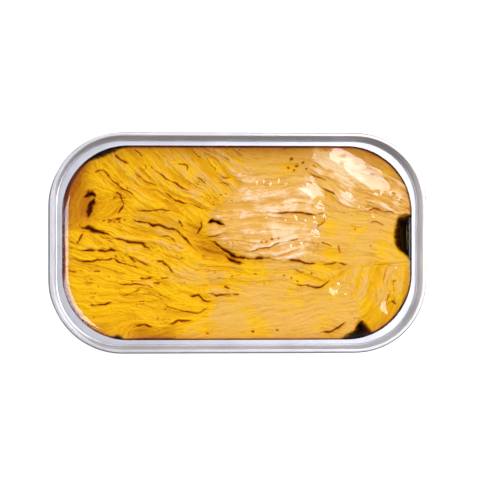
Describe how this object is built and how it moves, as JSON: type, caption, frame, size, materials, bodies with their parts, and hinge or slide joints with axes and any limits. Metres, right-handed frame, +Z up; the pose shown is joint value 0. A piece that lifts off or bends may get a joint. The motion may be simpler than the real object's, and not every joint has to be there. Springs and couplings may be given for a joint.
{
  "type": "tuna can",
  "caption": "Opened oblong aluminium tin with a rolled rim, filled with flaky tuna fillets in golden oil.",
  "frame": {"origin": "middle of the can's foot, on the surface it stands on", "axes": "+Z up out of the opening, +X along the can's long side"},
  "size_m": [0.107, 0.0624, 0.0285],
  "materials": {
    "can_metal": "satin drawn aluminium",
    "ring_metal": "bright rolled aluminium",
    "olive_oil": "clear golden oil",
    "tuna": "wet flaky cooked tuna"
  },
  "bodies": {
    "root": {"can_body": "can_metal", "end_ring": "ring_metal", "oil": "olive_oil", "fillet_top_left": "tuna", "fillet_top_middle": "tuna", "fillet_top_right": "tuna", "fillet_centre": "tuna", "fillet_right": "tuna", "fillet_left_upper": "tuna", "fillet_left_middle": "tuna", "fillet_left_lower": "tuna", "fillet_low_inner": "tuna", "fillet_middle_lower": "tuna", "fillet_lower_right": "tuna", "fillet_crosswise": "tuna", "chunk_corner": "tuna", "flake_wall": "tuna", "flake_inner": "tuna", "flake_knob": "tuna", "flake_sliver": "tuna", "flake_round": "tuna", "flake_upright": "tuna", "flake_pale": "tuna", "flake_deep": "tuna", "flake_wedge": "tuna", "flake_stub": "tuna", "flake_low_edge": "tuna"}
  },
  "joints": []
}
